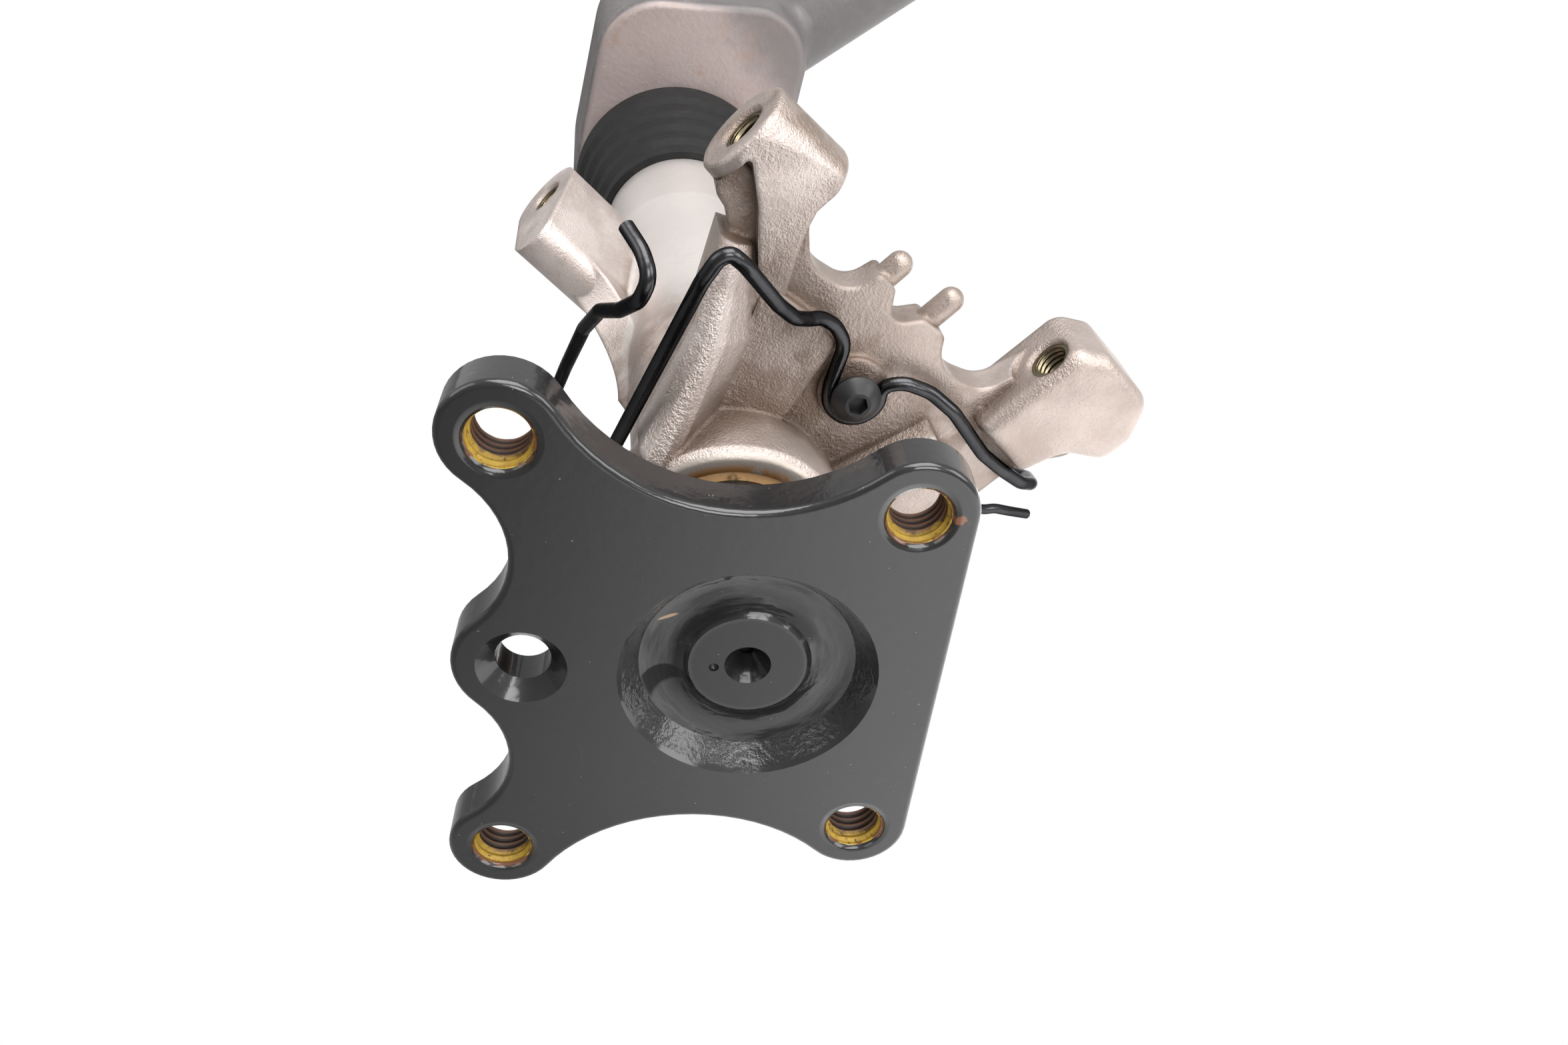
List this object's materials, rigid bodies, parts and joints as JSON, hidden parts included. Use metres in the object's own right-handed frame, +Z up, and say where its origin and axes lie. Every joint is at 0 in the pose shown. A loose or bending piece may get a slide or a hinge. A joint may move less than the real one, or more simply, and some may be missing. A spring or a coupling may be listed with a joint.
{
  "type": "steering stem",
  "caption": "Steering stem with a drilled handlebar plate, turning on ball bearings in a cast holder with bosses, a bent wire guide, a rubber boot and a lower steering arm.",
  "frame": {"origin": "on the stem's axis, where it meets the front face of the handlebar plate", "axes": "+Y along the stem from the handlebar plate to the lower arm, +Z up along the plate's taller sides, +X across the plate from the wide row of screw holes to the narrow row"},
  "size_m": [0.1887, 0.3484, 0.1815],
  "materials": {
    "black_steel": "gloss black paint on forged steel, with scuffs and a little rust",
    "cast_aluminium": "sand-cast aluminium, dull, with brown dirt in the corners",
    "bright_steel": "plated steel, lightly worn",
    "bearing_steel": "ground bearing steel under old grease",
    "rubber": "black rubber, dusty",
    "arm_steel": "worn black paint on a steel forging, brown on the hub",
    "black_wire": "gloss black coated wire",
    "black_screw": "black oxide"
  },
  "bodies": {
    "holder": {"bearing_holder": "cast_aluminium", "thread_inserts": "bright_steel", "upper_outer_race": "bearing_steel", "lower_outer_race": "bearing_steel", "upper_dust_seal": "rubber", "lower_dust_seal": "rubber", "wire_guide": "black_wire", "guide_screw": "black_screw"},
    "stem": {"stem_shaft": "black_steel", "upper_inner_race": "bearing_steel", "lower_inner_race": "bearing_steel", "race_spacer": "bright_steel", "hub_sleeve": "bright_steel", "dust_boot": "rubber", "lower_arm": "arm_steel", "castle_nut": "bright_steel", "nut_washer": "bright_steel", "split_pin": "bright_steel"},
    "upper_ball_set": {"upper_balls": "bearing_steel", "upper_cage": "bright_steel"},
    "lower_ball_set": {"lower_balls": "bearing_steel", "lower_cage": "bright_steel"}
  },
  "joints": [
    {"name": "steer", "type": "hinge", "parent": "holder", "child": "stem", "pos_m": [0, 0.14, 0], "axis": [0, 1, 0], "range_deg": [-45, 45]},
    {"name": "upper_balls_roll", "type": "hinge", "parent": "holder", "child": "upper_ball_set", "pos_m": [0, 0.0495, 0], "axis": [0, 1, 0], "range_deg": [-21, 21]},
    {"name": "lower_balls_roll", "type": "hinge", "parent": "holder", "child": "lower_ball_set", "pos_m": [0, 0.2225, 0], "axis": [0, 1, 0], "range_deg": [-21, 21]}
  ],
  "couplings": [
    {"joint": "upper_balls_roll", "follows": "steer", "ratio": 0.4474},
    {"joint": "lower_balls_roll", "follows": "steer", "ratio": 0.4474}
  ]
}
